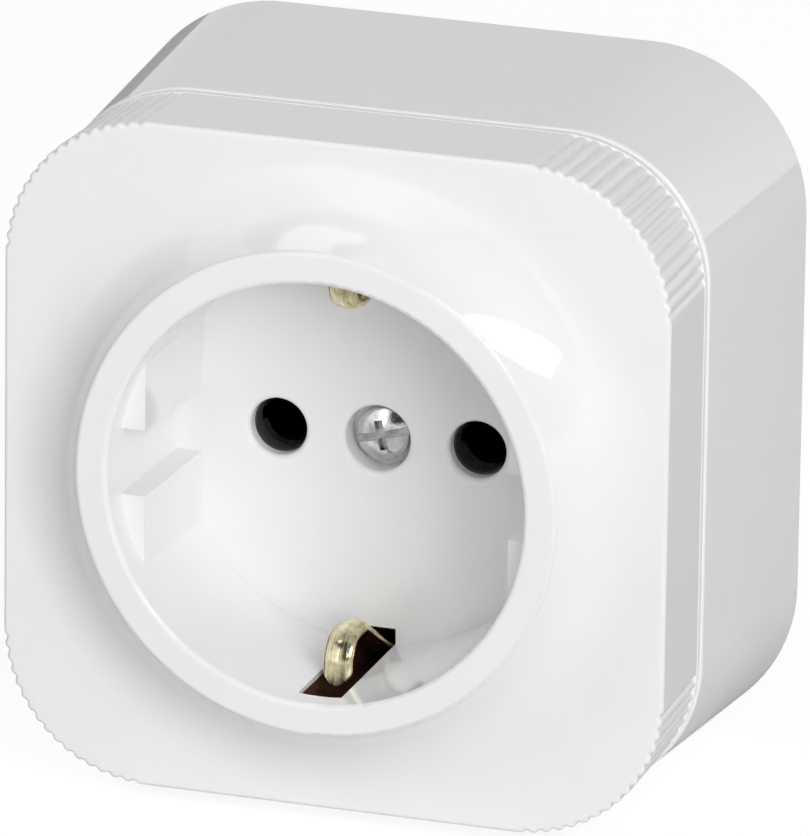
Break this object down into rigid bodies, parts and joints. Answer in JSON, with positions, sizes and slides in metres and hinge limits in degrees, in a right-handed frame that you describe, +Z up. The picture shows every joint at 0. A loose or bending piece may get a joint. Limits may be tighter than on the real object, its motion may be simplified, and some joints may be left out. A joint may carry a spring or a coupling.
{
  "type": "surface-mounted wall socket",
  "caption": "Square surface-mounted wall socket: deep back box, screwed cover with a raised collar, round plug well, pin holes and side earth clips.",
  "frame": {"origin": "centre of the flat back face, which lies on the wall", "axes": "+X to the right, +Y into the wall, +Z up; the front of the socket faces -Y"},
  "size_m": [0.0654, 0.0419, 0.0654],
  "materials": {
    "white_plastic": "glossy",
    "brown_phenolic": "satin",
    "brass": "satin",
    "earth_spring": "satin",
    "plated_steel": "satin"
  },
  "bodies": {
    "socket": {"back_box": "white_plastic", "front_cover": "white_plastic", "cover_screw": "plated_steel", "cover_nut": "brass", "contact_base": "brown_phenolic", "contact_retainer": "brown_phenolic", "live_contact_left": "brass", "live_contact_right": "brass", "contact_spring_left": "plated_steel", "contact_spring_right": "plated_steel", "terminal_left": "brass", "terminal_right": "brass", "terminal_screw_left": "plated_steel", "terminal_screw_right": "plated_steel", "base_screw_left": "plated_steel", "base_screw_right": "plated_steel", "earth_bar": "brass", "earth_rivet_upper": "brass", "earth_rivet_lower": "brass", "earth_terminal": "brass", "earth_terminal_screw": "plated_steel"},
    "clip_upper": {"earth_clip_upper": "earth_spring"},
    "clip_lower": {"earth_clip_lower": "earth_spring"}
  },
  "joints": [
    {"name": "earth_clip_upper_spring", "type": "hinge", "parent": "socket", "child": "clip_upper", "pos_m": [0, -0.0085, 0.0212], "axis": [-1, 0, 0], "range_deg": [0, 5], "stiffness_Nm_per_rad": 0.2},
    {"name": "earth_clip_lower_spring", "type": "hinge", "parent": "socket", "child": "clip_lower", "pos_m": [0, -0.0085, -0.0212], "axis": [1, 0, 0], "range_deg": [0, 5], "stiffness_Nm_per_rad": 0.2}
  ]
}
